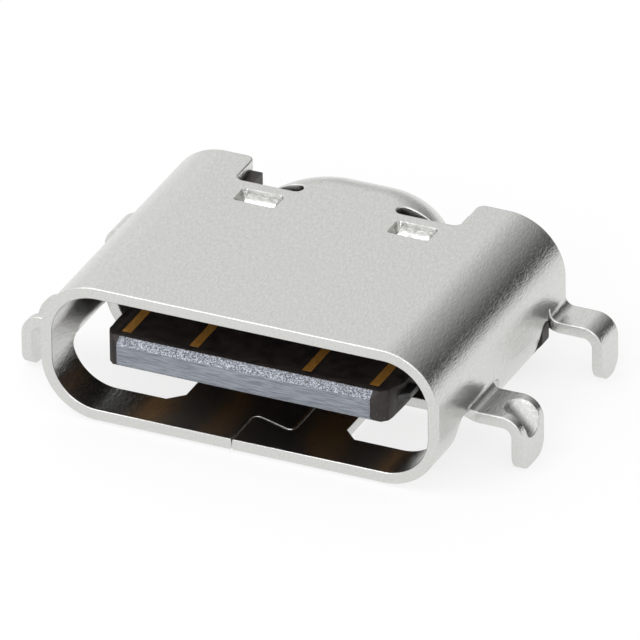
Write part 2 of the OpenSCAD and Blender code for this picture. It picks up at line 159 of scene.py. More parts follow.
# %% Make the satin nickel
def satin_nickel(name, tone, rough, grain):
    material, tree, shader = new_material(name)
    streaks = add(tree, "ShaderNodeTexNoise", (-600, 250), in_Vector=millimetres(tree, (24, 9, 24)),
                  in_Scale=1.0, in_Detail=4.0, in_Roughness=0.6, in_Distortion=0.6).outputs[0]
    cloud = add(tree, "ShaderNodeTexNoise", (-600, -150), in_Vector=millimetres(tree),
                in_Scale=1.3, in_Detail=4.0).outputs[0]
    darker, paler = (tuple(k * c for c in tone) for k in (0.93, 1.05))
    colour = ramp(tree, streaks, [(0.32, darker), (0.68, paler)], (-300, 300))
    tree.links.new(colour, shader.inputs["Base Color"])
    shader.inputs["Metallic"].default_value = 1.0
    spread = maths(tree, "MULTIPLY_ADD", streaks, 0.10, at=(-300, 0))
    spread.node.inputs[2].default_value = rough - 0.05
    wear = maths(tree, "MULTIPLY_ADD", cloud, 0.10, at=(-300, -200))
    wear.node.inputs[2].default_value = -0.05
    tree.links.new(maths(tree, "ADD", spread, wear, True, (0, 0)), shader.inputs["Roughness"])
    bump = add(tree, "ShaderNodeBump", (300, -300), in_Height=streaks,
               in_Strength=grain, in_Distance=0.000012)
    tree.links.new(bump.outputs[0], shader.inputs["Normal"])
    return material


shell_metal = satin_nickel("satin_nickel", (0.67, 0.67, 0.65), 0.23, 0.6)
print("made", shell_metal.name)

# %% [markdown]
# ### Glass-filled black moulding
# The tongue and base are black nylon with glass fibre. Close up the skin isn't even: fibre ends
# show as pale specks. The tongue's nose faces the light, so its sheen and glints are painted into its
# colour: a paler painted sheen on the front face and bright painted glints on the bevel. The specks
# come from a fine noise cut high, and the painted nose light from the distance to the mouth.

# %% Make the black moulding
NOSE_Y, NOSE_LENGTH, NOSE_HALF = 0.16, 0.2, 2.81    # where the tongue's nose lies, mm


def moulding(name, painted_lit_nose):
    material, tree, shader = new_material(name)
    where = millimetres(tree)
    fine = add(tree, "ShaderNodeTexNoise", (-600, 300), in_Vector=where,
               in_Scale=17.0, in_Detail=3.0, in_Roughness=0.75).outputs[0]
    coarse = add(tree, "ShaderNodeTexNoise", (-600, 0), in_Vector=where,
                 in_Scale=4.0, in_Detail=4.0).outputs[0]
    skin = ramp(tree, coarse, [(0.35, (0.012, 0.009, 0.009)), (0.7, (0.035, 0.026, 0.022))], (-300, 0))
    specks = ramp(tree, fine, [(0.60, 0.0), (0.74, 1.0)], (-300, 300))
    speckled = add(tree, "ShaderNodeMix", (0, 200), data_type="RGBA", in_0=maths(tree, "MULTIPLY", specks, 0.9),
                   in_6=skin, in_7=(0.11, 0.12, 0.14, 1)).outputs[2]
    colour = speckled
    # Painted light on the tongue's nose: a pale painted sheen on its front face and bright painted glints on its
    # bevel.
    if painted_lit_nose:
        place = add(tree, "ShaderNodeSeparateXYZ", (-600, -300), in_0=where)
        depth = maths(tree, "SUBTRACT", place.outputs[1], low.y * 1000, at=(-450, -300))
        lines = add(tree, "ShaderNodeTexNoise", (-600, 600), in_Vector=millimetres(tree, (3, 3, 60)),
                    in_Scale=1.0, in_Detail=2.0).outputs[0]
        # Painted sheen: the front face, which faces the light, is coloured a lighter grey-blue.
        painted_nose_sheen = ramp(tree, lines, [(0.35, (0.13, 0.145, 0.17)), (0.62, (0.26, 0.28, 0.32))], (-300, 700))
        glint_noise = add(tree, "ShaderNodeTexNoise", (-600, 800), in_Vector=where,
                   in_Scale=30.0, in_Detail=2.0, in_Roughness=0.8).outputs[0]
        # Painted glints: bright specks on the bevel stand in for the light it catches.
        painted_bevel_glints = ramp(tree, glint_noise, [(0.36, (0.05, 0.055, 0.07)), (0.50, (0.23, 0.25, 0.29)),
                                 (0.62, (0.62, 0.65, 0.72))], (-300, 500))
        bevel = maths(tree, "GREATER_THAN", depth, NOSE_Y + 0.025, at=(-300, -500))
        painted_nose_light = add(tree, "ShaderNodeMix", (0, 500), data_type="RGBA", in_0=bevel,
                        in_6=painted_nose_sheen, in_7=painted_bevel_glints).outputs[2]
        edge = maths(tree, "MULTIPLY_ADD", fine, 0.05, at=(-450, -450))
        edge.node.inputs[2].default_value = NOSE_Y + NOSE_LENGTH - 0.03
        front = maths(tree, "LESS_THAN", depth, edge, at=(-300, -300))
        middle = maths(tree, "LESS_THAN", maths(tree, "ABSOLUTE", place.outputs[0]), NOSE_HALF, at=(-300, -400))
        colour = add(tree, "ShaderNodeMix", (200, 200), data_type="RGBA", in_6=speckled, in_7=painted_nose_light,
                     in_0=maths(tree, "MULTIPLY", front, middle, at=(0, -300))).outputs[2]
    tree.links.new(colour, shader.inputs["Base Color"])
    rough = maths(tree, "MULTIPLY_ADD", coarse, 0.25, at=(0, -100))
    rough.node.inputs[2].default_value = 0.34
    tree.links.new(rough, shader.inputs["Roughness"])
    bump = add(tree, "ShaderNodeBump", (300, -300), in_Height=fine,
               in_Strength=0.5, in_Distance=0.00001)
    tree.links.new(bump.outputs[0], shader.inputs["Normal"])
    return material


tongue_black = moulding("glass_filled_black", True)
base_black = moulding("black_moulding", False)
print("made", tongue_black.name, "and", base_black.name)


# %% [markdown]
# ### Gold flash on the contacts
# The strips carry a very thin coat of gold over nickel. It's warm and slightly cloudy, and the
# rolled grain of the strip shows through it. Its tone is painted darker than the gold is, as
# painted shade for the dim inside of the mouth.

# %% Make the gold flash and the plate's steel
def gold_flash():
    material, tree, shader = new_material("gold_flash")
    grain = add(tree, "ShaderNodeTexNoise", (-600, 0), in_Vector=millimetres(tree, (30, 5, 30)),
                in_Scale=1.0, in_Detail=4.0).outputs[0]
    # Painted shade: both tones are darker than gold, for the dim inside of the mouth; the grain between them is the
    # strip's own.
    tone = ramp(tree, grain, [(0.3, (0.40, 0.175, 0.026)), (0.7, (0.60, 0.30, 0.065))], (-300, 200))
    tree.links.new(tone, shader.inputs["Base Color"])
    shader.inputs["Metallic"].default_value = 0.6
    rough = maths(tree, "MULTIPLY_ADD", grain, 0.2)
    rough.node.inputs[2].default_value = 0.36
    tree.links.new(rough, shader.inputs["Roughness"])
    bump = add(tree, "ShaderNodeBump", (300, -300), in_Height=grain,
               in_Strength=0.3, in_Distance=0.000004)
    tree.links.new(bump.outputs[0], shader.inputs["Normal"])
    return material


gold = gold_flash()
plate_metal = satin_nickel("ground_plate_steel", (0.13, 0.13, 0.135), 0.4, 0.4)
print("made", gold.name, "and", plate_metal.name)

# %% [markdown]
# ## The shell
# The real shell starts as a flat blank: steel sheet stamped with its openings, leg strips and the
# two halves of a dovetail. It's then folded round a mandrel until the dovetail locks. The lesson
# follows the same route. The blank is drawn flat, where every cut is an easy outline, its rim is
# rounded, and Geometry Nodes fold it along a section curve. Modelling the folded tube directly
# would need a boolean for each cut, and its edges would be hard to round.

# %% Sizes of the blank
T = SHEET / 2
WIDE, HIGH = MOUTH_W / 2 + T, MOUTH_H / 2 + T          # half sizes of the sheet's middle surface
CORNER = MOUTH_R + T
TUBE_LENGTH = 6.3
ROOF, EAR, EAR_R = 5.3, 2.5, 0.18
quarter = CORNER * math.pi / 2
half_girth = 2 * (WIDE - CORNER) + 2 * (HIGH - CORNER) + 2 * quarter


def on_floor(x):
    """Distance along the sheet from the roof's middle to a place x on the right of the floor."""
    return half_girth - x


def on_wall(z):
    return (WIDE - CORNER) + quarter + (HIGH - CORNER) - z


LEG_DROP, LEG_SPAN, BEND = 0.36, 11.16, 0.2
LEG_TIP_Z = low.z * 1000 - axis_z * 1000
bend_start = on_wall(BEND - LEG_DROP)
bend_arc = (BEND + T) * math.pi / 2
shoulder = LEG_SPAN / 2 - SHEET - BEND - (WIDE + T + BEND)
leg_end = bend_start + 2 * bend_arc + shoulder + (-LEG_DROP - SHEET - BEND - LEG_TIP_Z)
print("half girth %.2f mm, legs reach %.2f mm along the sheet" % (half_girth, leg_end))


# %% Rounded outlines
def rounded(points, steps=7):
    """A closed outline from corners (x, y) or (x, y, radius)."""
    out = []
    count = len(points)
    for i, point in enumerate(points):
        radius = point[2] if len(point) > 2 else 0
        b = Vector(point[:2])
        if radius <= 0:
            out.append(b)
            continue
        a, c = Vector(points[i - 1][:2]), Vector(points[(i + 1) % count][:2])
        u, v = (a - b).normalized(), (c - b).normalized()
        half = u.angle(v) / 2
        centre = b + (u + v).normalized() * radius / math.sin(half)
        start, end = b + u * radius / math.tan(half), b + v * radius / math.tan(half)
        a0 = math.atan2(start.y - centre.y, start.x - centre.x)
        a1 = math.atan2(end.y - centre.y, end.x - centre.x)
        turn = (a1 - a0 + math.pi) % (2 * math.pi) - math.pi
        for k in range(steps + 1):
            angle = a0 + turn * k / steps
            out.append(centre + radius * Vector((math.cos(angle), math.sin(angle))))
    return out


def offset(points, distance):
    """A closed outline moved to its left by distance(point) at each corner."""
    out = []
    for i, p in enumerate(points):
        u = (p - points[i - 1]).normalized()
        v = (points[(i + 1) % len(points)] - p).normalized()
        bend = max((1 + u.dot(v)) / 2, 0.1)
        normal = Vector((-u.y - v.y, u.x + v.x)) / 2
        out.append(p + normal / bend * distance(p))
    return out


# %% [markdown]
# ### Cutting the blank
# The front legs stand in closed openings, and the rear ones at the blank's rear edge. Each leg has
# a slot on either side with a round end, because a sharp end would tear when the leg is bent.

# %% The outline and the openings of the blank
FRONT_LEG, FRONT_W, REAR_LEG, REAR_W, TIP_R = 1.5, 1.1, 5.5, 0.8, 0.36
LIP, STRIP, CHAMFER, SLOT = 1.0, 1.8, 0.3, 0.43
SLOT_TOP = 0.08 - LEG_DROP
FRONT_SLOT_TOP = 0.02 - LEG_DROP
SLIT_W, SLIT_TOP = 0.08, -0.08
NECK, NECK_JOINT, SHOULDER_Y = 1.05, 5.46, 5.62
SEAM_GAP = 0.03


def seam_edge(side):
    """The dovetail's edge on the floor, as (x, y) from the mouth backwards, beside the slit."""
    x0, x1 = -0.18, 0.82
    corners = [(x0, -3), (x0, 1.12, 0.13), (x1, 0.78, 0.13), (x1, 2.76, 0.13), (x0, 2.42, 0.13), (x0, 9)]
    path = rounded(corners + [(x0 - 5, 9), (x0 - 5, -3)])
    moved = offset(path, lambda p: -side * SEAM_GAP / 2)
    inside = [p for p in moved if p.x > x0 - 1 and -1 < p.y < 8]
    ends = (Vector((inside[0].x, 0)), Vector((inside[0].x, TUBE_LENGTH)))
    return [ends[0]] + inside + [ends[1]]


def rear_slot():
    """From the floor's strip round the slot and the slit to the front edge of the rear leg."""
    y0, r = REAR_LEG - SLOT, SLOT / 2
    cx, cy = on_wall(SLOT_TOP - r), REAR_LEG - SLOT / 2
    points = [(on_floor(STRIP), TUBE_LENGTH), (on_floor(STRIP), y0 + CHAMFER), (on_floor(STRIP + CHAMFER), y0)]
    end = math.acos((REAR_LEG - SLIT_W - cy) / r)
    arc = [Vector((cx + r * math.sin(a), cy - r * math.cos(a)))
           for a in [-(math.pi - end) * k / 10 for k in range(11)]]
    slit = [(on_wall(SLIT_TOP), REAR_LEG - SLIT_W), (on_wall(SLIT_TOP), REAR_LEG)]
    return [Vector(p) for p in points] + arc + [Vector(p) for p in slit]


def leg_tip(y0, y1):
    return [p for p in rounded([(bend_start, y0), (leg_end, y0, TIP_R), (leg_end, y1, TIP_R), (bend_start, y1)])][1:-1]


def front_opening():
    """The closed opening round a front leg, turning left."""
    y3 = FRONT_LEG + FRONT_W + SLOT
    r0, r1 = (FRONT_LEG - LIP) / 2, SLOT / 2
    out = [Vector((on_floor(STRIP), LIP + CHAMFER)), Vector((on_floor(STRIP), y3))]
    for cy, r in ((y3 - r1, r1), (LIP + r0, r0)):
        cx = on_wall(FRONT_SLOT_TOP - r)
        arc = [Vector((cx - r * math.sin(a), cy + r * math.cos(a)))
               for a in [math.pi * k / 14 for k in range(15)]]
        out += arc
        if cy > 2:
            out += reversed(leg_tip(FRONT_LEG, FRONT_LEG + FRONT_W))
    return out + [Vector((on_floor(STRIP + CHAMFER), LIP))]


roof_edge = rounded([(9, TUBE_LENGTH), (EAR, TUBE_LENGTH, EAR_R), (EAR, ROOF, EAR_R), (0, ROOF)])[1:-1]
neck_r = NECK_JOINT - ROOF
neck_arc = [Vector((NECK + neck_r - neck_r * math.sin(a), NECK_JOINT - neck_r * math.cos(a)))
            for a in [math.pi / 2 * k / 6 for k in range(7)]]
right_edge = [Vector((half_girth - p.x, p.y)) for p in seam_edge(1)]
left_edge = [Vector((-half_girth - p.x, p.y)) for p in seam_edge(-1)]
rear_right = rear_slot() + leg_tip(REAR_LEG, TUBE_LENGTH) + roof_edge + neck_arc
flip = [Vector((-p.x, p.y)) for p in reversed(rear_right)]
blank_outline = right_edge + rear_right + flip + list(reversed(left_edge))
openings = [list(reversed(front_opening())), [Vector((-p.x, p.y)) for p in front_opening()]]
print("outline of", len(blank_outline), "points and", len(openings), "closed openings")

# %% [markdown]
# ### Thickness and a rounded rim
# A stamped edge is never sharp: the punch rolls one side over, and plating rounds the other. Rings
# of the outline, each a little further in, give the rim its radius, and the last ring holds the
# flat face flat. The neck's end isn't rounded, because the back cover carries on from it.

# %% Build the blank as a thin solid
RIM = 0.032


def fill_between(bm, loops):
    edges = []
    for loop in loops:
        edges += [bm.edges.get((a, b)) or bm.edges.new((a, b)) for a, b in zip(loop, loop[1:] + loop[:1])]
    return bmesh.ops.triangle_fill(bm, edges=edges, use_beauty=True, normal=(0, 0, 1))


def at_joint(p):
    return abs(p.y - NECK_JOINT) < 1e-4 and abs(p.x) < NECK + 1e-3


def sheet_solid(outlines):
    """A solid of the sheet's thickness from outlines that keep the metal on their left."""
    bm = bmesh.new()
    arc = [math.pi / 2 * k / 3 for k in range(4)]
    rings = [(RIM * 1.6, -T)] + [(RIM * (1 - math.sin(a)), -T + RIM * (1 - math.cos(a))) for a in arc]
    rings = rings + [(inset, -h) for inset, h in reversed(rings)]
    inner, outer = [], []
    for outline in outlines:
        levels = []
        for inset, h in rings:
            moved = offset(outline, lambda p: inset)
            for p, q in zip(outline, moved):
                if at_joint(p):
                    q.y = p.y
                    q.x = p.x - math.copysign(inset, p.x)
            levels.append([bm.verts.new((q.x, q.y, h)) for q in moved])
        for lower, upper in zip(levels, levels[1:]):
            for i in range(len(outline)):
                j = (i + 1) % len(outline)
                if not (at_joint(outline[i]) and at_joint(outline[j])):
                    bm.faces.new((lower[i], lower[j], upper[j], upper[i]))
        inner.append(levels[0])
        outer.append(levels[-1])
    fill_between(bm, inner)
    fill_between(bm, outer)
    bmesh.ops.recalc_face_normals(bm, faces=bm.faces)
    return bm


blank = sheet_solid([blank_outline] + openings)
print("blank:", len(blank.faces), "faces; edges left open at the neck:",
      sum(len(e.link_faces) != 2 for e in blank.edges))

# %% [markdown]
# ### Cut lines for the folds
# A mesh can only bend where it has edges. The places that will bend get closely spaced cuts across
# the blank, and the small pressed details get a fine grid of their own. The rest stays coarse.

# %% Cut the blank where it will bend
def cut(bm, axis, places, inside=None):
    """Cuts faces with planes across an axis (0 or 1), only where inside(centre) is true."""
    normal = (1, 0, 0) if axis == 0 else (0, 1, 0)
    for place in places:
        faces = [f for f in bm.faces if inside is None or inside(f.calc_center_median())]
        geometry = set(faces)
        for f in faces:
            geometry.update(f.edges)
            geometry.update(f.verts)
        bmesh.ops.bisect_plane(bm, geom=list(geometry), dist=1e-6, plane_no=normal,
                               plane_co=(place, 0, 0) if axis == 0 else (0, place, 0))


def steps(start, end, size):
    count = max(1, round(abs(end - start) / size))
    return [start + (end - start) * k / count for k in range(count + 1)]


def near(cx, cy, half_x, half_y):
    return lambda c: abs(abs(c.x) - cx) < half_x and abs(c.y - cy) < half_y


def both(values):
    return [side * v for side in (1, -1) for v in values]


upper_bend = WIDE - CORNER
wall_end = on_wall(-(HIGH - CORNER))
cut(blank, 0, both(steps(upper_bend, upper_bend + quarter, 0.08)))
cut(blank, 0, both(steps(bend_start, wall_end + quarter, bend_arc / 12)))
LEG_MIDDLE = FRONT_LEG + FRONT_W / 2
dimple_at = bend_start + bend_arc + shoulder + bend_arc / 2
STOP_X, STOP_Y, STOP_W, STOP_L = 1.715, 4.75, 0.92, 0.5


def fine_grid(bm, cx, cy, half_x, half_y, size_x, size_y):
    """Frames a place on both halves of the blank, then cuts a fine grid inside the frame."""
    cut(bm, 0, both([cx - half_x, cx + half_x]))
    cut(bm, 1, [cy - half_y, cy + half_y])
    cut(bm, 0, both(steps(cx - half_x, cx + half_x, size_x)[1:-1]), near(cx, cy, half_x, half_y))
    cut(bm, 1, steps(cy - half_y, cy + half_y, size_y)[1:-1], near(cx, cy, half_x, half_y))


fine_grid(blank, dimple_at, LEG_MIDDLE, 0.6, 0.42, 0.024, 0.024)
fine_grid(blank, STOP_X, STOP_Y, 0.56, 0.34, 0.022, 0.022)
fine_grid(blank, bend_start + 0.2, FRONT_LEG - 0.125, 0.24, 0.125, 0.05, 0.04)
fine_grid(blank, bend_start + 0.2, FRONT_LEG + FRONT_W + SLOT / 4, 0.24, SLOT / 4, 0.05, 0.04)
NECK_CUTS = both(steps(0.05, 1.2, 0.05)) + [0]
cut(blank, 0, [-1.25, 1.25])
cut(blank, 1, [5.2])
cut(blank, 0, NECK_CUTS, lambda c: abs(c.x) < 1.25 and 5.2 < c.y < NECK_JOINT + 0.01)
print("cut blank:", len(blank.faces), "faces")


# %% [markdown]
# ### Press the roof stops
# Two small blocks stop a plug that is pushed in too far. The punch shears them half through the
# roof, so each is a shallow pit with torn, shiny edges above and a low block below. The pit is
# pressed into the flat blank, where its depth is just a height.

# %% Press the stops
def box_distance(x, y, half_x, half_y, r):
    """Signed distance from a rounded rectangle, below zero inside."""
    dx, dy = abs(x) - half_x + r, abs(y) - half_y + r
    return math.hypot(max(dx, 0), max(dy, 0)) + min(max(dx, dy), 0) - r


def smooth(a, b, v):
    t = min(max((v - a) / (b - a), 0), 1)
    return t * t * (3 - 2 * t)


for v in blank.verts:
    x, y = abs(v.co.x) - STOP_X, v.co.y - STOP_Y
    if abs(x) > 0.7 or abs(y) > 0.45:
        continue
    inside = -box_distance(x, y, STOP_W / 2, STOP_L / 2, 0.1)
    if v.co.z > 0:
        torn = noise.noise(Vector((v.co.x * 8, y * 10, 3.1))) + 0.5 * noise.noise(Vector((v.co.x * 19, y * 19, 7.7)))
        pit = smooth(-0.012, 0.02, inside)
        left = v.co.x - math.copysign(STOP_X, v.co.x)
        ridge = smooth(0.03, 0.08, inside) * smooth(-0.15, 0.02, y) * smooth(-0.40, -0.30, left)
        v.co.z -= pit * (0.15 + 0.05 * (1 - smooth(-0.42, -0.28, left)) + 0.03 * torn) - ridge * (0.10 + 0.05 * torn)
        v.co.z = min(v.co.z, T)
    else:
        v.co.z -= 0.07 * smooth(0.0, 0.05, inside)
print("pressed two stops, lowest point %.3f mm under the sheet" % (-T - min(v.co.z for v in blank.verts)))

# %% [markdown]
# ### Folding with Geometry Nodes
# One tree folds the whole blank. It reads the distance s across the sheet, looks up that length on
# a section curve, and moves the point there. A point on a leg looks up a leg curve instead. The
# point's own height in the sheet becomes a step along the curve's normal. The same tree would fold
# any other section, because the curves are inputs.

# %% Curves to fold along, and the weights of the legs
def path_curve(name, points):
    curve = bpy.data.curves.new(name, "CURVE")
    curve.dimensions = "3D"
    spline = curve.splines.new("POLY")
    spline.points.add(len(points) - 1)
    for target, (x, z) in zip(spline.points, points):
        target.co = (x, 0, z, 1)
    made = bpy.data.objects.new(name, curve)
    scene.collection.objects.link(made)
    return made


section_path = path_curve("section_path", [(0, HIGH), (WIDE, HIGH), (WIDE, -HIGH), (-1.6, -HIGH)])
leg_x, leg_z = LEG_SPAN / 2 - T, -LEG_DROP - T
leg_path = path_curve("leg_path", [(WIDE, 0.5), (WIDE, leg_z), (leg_x, leg_z), (leg_x, LEG_TIP_Z - 0.5)])


def leg_weight(s, y):
    """1 on a leg, 0 on the tube, and a smooth step in the metal drawn round a slot's end."""
    if abs(s) < bend_start - 1e-5:
        return 0.0
    if abs(s) > leg_end + 1e-4:
        return 0.0
    if REAR_LEG - 1e-5 <= y:
        return 1.0
    y0, y1 = FRONT_LEG, FRONT_LEG + FRONT_W
    if y0 - 1e-5 <= y <= y1 + 1e-5:
        return 1.0
    r = (y0 - LIP) / 2 if y < y0 else SLOT / 2
    outside = max(y0 - y, y - y1) / r
    if outside < 1 and abs(s) < on_wall(FRONT_SLOT_TOP - r) + 1e-3:
        t = 1 - outside
        return t * t * (3 - 2 * t)
    return 0.0


height = blank.verts.layers.float.new("height")
for v in blank.verts:
    v[height] = v.co.z
flat = bpy.data.meshes.new("flat_blank")
blank.to_mesh(flat)
blank.free()
weights = flat.attributes.new("leg", "FLOAT", "POINT")
for vertex in flat.vertices:
    weights.data[vertex.index].value = leg_weight(vertex.co.x, vertex.co.y)
print("points on legs:", sum(w.value > 0.5 for w in weights.data))


# %% The folding tree
def group_socket(tree, name, kind, default=None):
    socket = tree.interface.new_socket(name=name, in_out="INPUT", socket_type=kind)
    if default is not None:
        socket.default_value = default
    return socket


def folding_tree():
    tree = bpy.data.node_groups.new("fold_sheet", "GeometryNodeTree")
    tree.interface.new_socket(name="Geometry", in_out="OUTPUT", socket_type="NodeSocketGeometry")
    group_socket(tree, "Geometry", "NodeSocketGeometry")
    group_socket(tree, "Section", "NodeSocketObject")
    group_socket(tree, "Section Radius", "NodeSocketFloat", CORNER)
    group_socket(tree, "Leg Path", "NodeSocketObject")
    group_socket(tree, "Leg Radius", "NodeSocketFloat", BEND + T)
    group_socket(tree, "Leg Starts At", "NodeSocketFloat", on_wall(0.5))
    group_socket(tree, "Metal", "NodeSocketMaterial")
    start = add(tree, "NodeGroupInput", (-1400, 0))
    parts = add(tree, "ShaderNodeSeparateXYZ", (-1200, 300), in_0=add(tree, "GeometryNodeInputPosition", (-1400, 300)).outputs[0])
    across = maths(tree, "ABSOLUTE", parts.outputs[0], at=(-1000, 300))
    side = maths(tree, "SIGN", parts.outputs[0], at=(-1000, 150))

    def place(path, radius, length, y):
        info = add(tree, "GeometryNodeObjectInfo", (-1000, y), in_0=start.outputs[path])
        bent = add(tree, "GeometryNodeFilletCurve", (-800, y), mode="POLY")
        for socket, value in (("Curve", info.outputs["Geometry"]), ("Radius", start.outputs[radius])):
            tree.links.new(value, bent.inputs[socket])
        bent.inputs["Count"].default_value = 64
        found = add(tree, "GeometryNodeSampleCurve", (-600, y), mode="LENGTH", use_all_curves=False)
        tree.links.new(bent.outputs[0], found.inputs["Curves"])
        tree.links.new(length, found.inputs["Length"])
        tangent = add(tree, "ShaderNodeSeparateXYZ", (-400, y - 100), in_0=found.outputs["Tangent"])
        outward = add(tree, "ShaderNodeCombineXYZ", (-200, y - 100),
                      in_0=maths(tree, "MULTIPLY", tangent.outputs[2], -1.0), in_2=tangent.outputs[0])
        unit = add(tree, "ShaderNodeVectorMath", (-100, y - 100), operation="NORMALIZE", in_0=outward.outputs[0])
        step = add(tree, "ShaderNodeVectorMath", (0, y - 100), operation="SCALE",
                   in_0=unit.outputs[0], in_Scale=parts.outputs[2])
        return add(tree, "ShaderNodeVectorMath", (150, y), operation="ADD",
                   in_0=found.outputs["Position"], in_1=step.outputs[0]).outputs[0]

    tube = place("Section", "Section Radius", across, 0)
    leg_length = maths(tree, "SUBTRACT", across, start.outputs["Leg Starts At"], at=(-800, 500))
    leg = place("Leg Path", "Leg Radius", leg_length, -500)
    weight = add(tree, "GeometryNodeInputNamedAttribute", (150, 300), data_type="FLOAT", in_Name="leg").outputs[0]
    mixed = add(tree, "ShaderNodeMix", (350, 0), data_type="VECTOR", in_0=weight, in_4=tube, in_5=leg).outputs[1]
    xyz = add(tree, "ShaderNodeSeparateXYZ", (500, 0), in_0=mixed)
    folded = add(tree, "ShaderNodeCombineXYZ", (650, 0), in_0=maths(tree, "MULTIPLY", xyz.outputs[0], side),
                 in_1=parts.outputs[1], in_2=xyz.outputs[2])
    moved = add(tree, "GeometryNodeSetPosition", (800, 0))
    tree.links.new(start.outputs["Geometry"], moved.inputs["Geometry"])
    tree.links.new(folded.outputs[0], moved.inputs["Position"])
    real = add(tree, "GeometryNodeRealizeInstances", (950, 0))
    tree.links.new(moved.outputs[0], real.inputs[0])
    painted = add(tree, "GeometryNodeSetMaterial", (1100, 0))
    tree.links.new(real.outputs[0], painted.inputs["Geometry"])
    tree.links.new(start.outputs["Metal"], painted.inputs["Material"])
    end = add(tree, "NodeGroupOutput", (1250, 0))
    tree.links.new(painted.outputs[0], end.inputs[0])
    return tree


def run_tree(mesh, tree, **inputs):
    """Runs a tree on a mesh and returns the plain mesh that comes out."""
    holder = bpy.data.objects.new("holder", mesh)
    scene.collection.objects.link(holder)
    modifier = holder.modifiers.new("nodes", "NODES")
    modifier.node_group = tree
    for item in tree.interface.items_tree:
        if item.item_type == "SOCKET" and item.in_out == "INPUT" and item.name in inputs:
            modifier[item.identifier] = inputs[item.name]
    graph = bpy.context.evaluated_depsgraph_get()
    out = bpy.data.meshes.new_from_object(holder.evaluated_get(graph))
    bpy.data.objects.remove(holder)
    return out


tube = run_tree(flat, folding_tree(), **{
    "Section": section_path, "Section Radius": CORNER, "Leg Path": leg_path,
    "Leg Radius": BEND + T, "Leg Starts At": on_wall(0.5), "Metal": shell_metal})
for helper in (section_path, leg_path):
    bpy.data.objects.remove(helper)
xs = [v.co.x for v in tube.vertices]
zs = [v.co.z for v in tube.vertices]
print("folded: x %.3f to %.3f, z %.3f to %.3f mm" % (min(xs), max(xs), min(zs), max(zs)))

# %% [markdown]
# ## The back cover
# The rear half of the roof carries on over a narrow neck as a drawn cover. Its plan is a straight
# run with two round corners, and its profile a flat top, a quarter roll and a short skirt. It's made
# as the tube is: an outline on a flat map, cut into small squares, then mapped onto the dome. Here
# the map's distance from the straight run is the length along the profile.

# %% Map and build the cover
COVER_Y, COVER_RUN, COVER_FLAT, COVER_EDGE_Z = 5.25, 0.44, 0.63, -0.2
ROLL = 1.19 - T
roll_length = ROLL * math.pi / 2
skirt_end = COVER_FLAT + roll_length + (HIGH - ROLL - COVER_EDGE_Z)


def profile(length):
    """Distance out, height and tilt of the cover's middle surface at a length from the run."""
    angle = min(max((length - COVER_FLAT) / ROLL, 0), math.pi / 2)
    out = min(length, COVER_FLAT) + ROLL * math.sin(angle)
    up = HIGH - ROLL * (1 - math.cos(angle)) - max(length - COVER_FLAT - roll_length, 0)
    return out, up, angle


def cover_point(p):
    run = min(max(p.x, -COVER_RUN), COVER_RUN)
    away = Vector((p.x - run, p.y - COVER_Y))
    length = away.length
    way = away / length if length > 1e-6 else Vector((0, 1))
    out, up, angle = profile(length)
    out += p.z * math.sin(angle)
    return Vector((run + way.x * out, COVER_Y + way.y * out, up + p.z * math.cos(angle)))


def front_edge(length):
    out = profile(length)[0]
    forward = (SHOULDER_Y - COVER_Y) / out
    sideways = math.sqrt(1 - forward * forward)
    return Vector((COVER_RUN + length * sideways, COVER_Y + length * forward))


start = COVER_FLAT + (math.hypot(NECK + neck_r - COVER_RUN, SHOULDER_Y - COVER_Y) - COVER_FLAT)
right_side = [Vector((NECK + neck_r - neck_r * math.cos(a), NECK_JOINT + neck_r * math.sin(a)))
              for a in [math.pi / 2 * k / 6 for k in range(7)]]
right_side += [front_edge(t) for t in steps(start, skirt_end - 0.09, 0.12)[1:]]
edge_turn = math.acos((SHOULDER_Y - COVER_Y) / profile(skirt_end)[0])
for k in range(1, 7):
    a = math.pi / 2 * k / 6
    length = skirt_end - 0.09 * (1 - math.sin(a))
    turn = edge_turn - 0.06 * (1 - math.cos(a))
    right_side.append(Vector((COVER_RUN + length * math.sin(turn), COVER_Y + length * math.cos(turn))))
right_side += [Vector((COVER_RUN + skirt_end * math.sin(a), COVER_Y + skirt_end * math.cos(a)))
               for a in steps(edge_turn - 0.06, 0, 0.05)[1:]]
cover_outline = right_side + [Vector((-p.x, p.y)) for p in reversed(right_side)]
cover = sheet_solid([cover_outline])
cut(cover, 0, NECK_CUTS + both(steps(1.25, 3.2, 0.05)))
cut(cover, 1, steps(5.55, 8.05, 0.05))
for v in cover.verts:
    v.co = cover_point(v.co)
print("cover:", len(cover.faces), "faces, back at y = %.2f mm" % max(v.co.y for v in cover.verts))

# %% Join the cover to the tube
shell_bm = bmesh.new()
shell_bm.from_mesh(tube)
bpy.data.meshes.remove(tube)
scrap = bpy.data.meshes.new("scrap")
cover.to_mesh(scrap)
cover.free()
shell_bm.from_mesh(scrap)
bpy.data.meshes.remove(scrap)
rim = list({v for e in shell_bm.edges if len(e.link_faces) == 1 for v in e.verts})
bmesh.ops.remove_doubles(shell_bm, verts=rim, dist=0.002)
bmesh.ops.recalc_face_normals(shell_bm, faces=shell_bm.faces)
print("open edges after joining:", sum(len(e.link_faces) != 2 for e in shell_bm.edges))

# %% [markdown]
# ### Stiffening dimples in the front legs
# A bent leg is stiffer with a dimple pressed across the bend. The punch is a round-ended rod that
# lies at 45 degrees, and the metal flows to the rod's skin. So each point is moved in along the
# rod's own direction until it lies on the skin, on both faces of the sheet.

# %% Press the dimples
DIMPLE_R, DIMPLE_REACH, DIMPLE_DEPTH, DIMPLE_WALL = 0.35, 0.30, 0.27, 0.19
bend_x, bend_z = LEG_SPAN / 2 - SHEET - BEND, -LEG_DROP - SHEET - BEND


def soft_min(a, b, k):
    h = max(k - abs(a - b), 0) / k
    return min(a, b) - h * h * k / 4


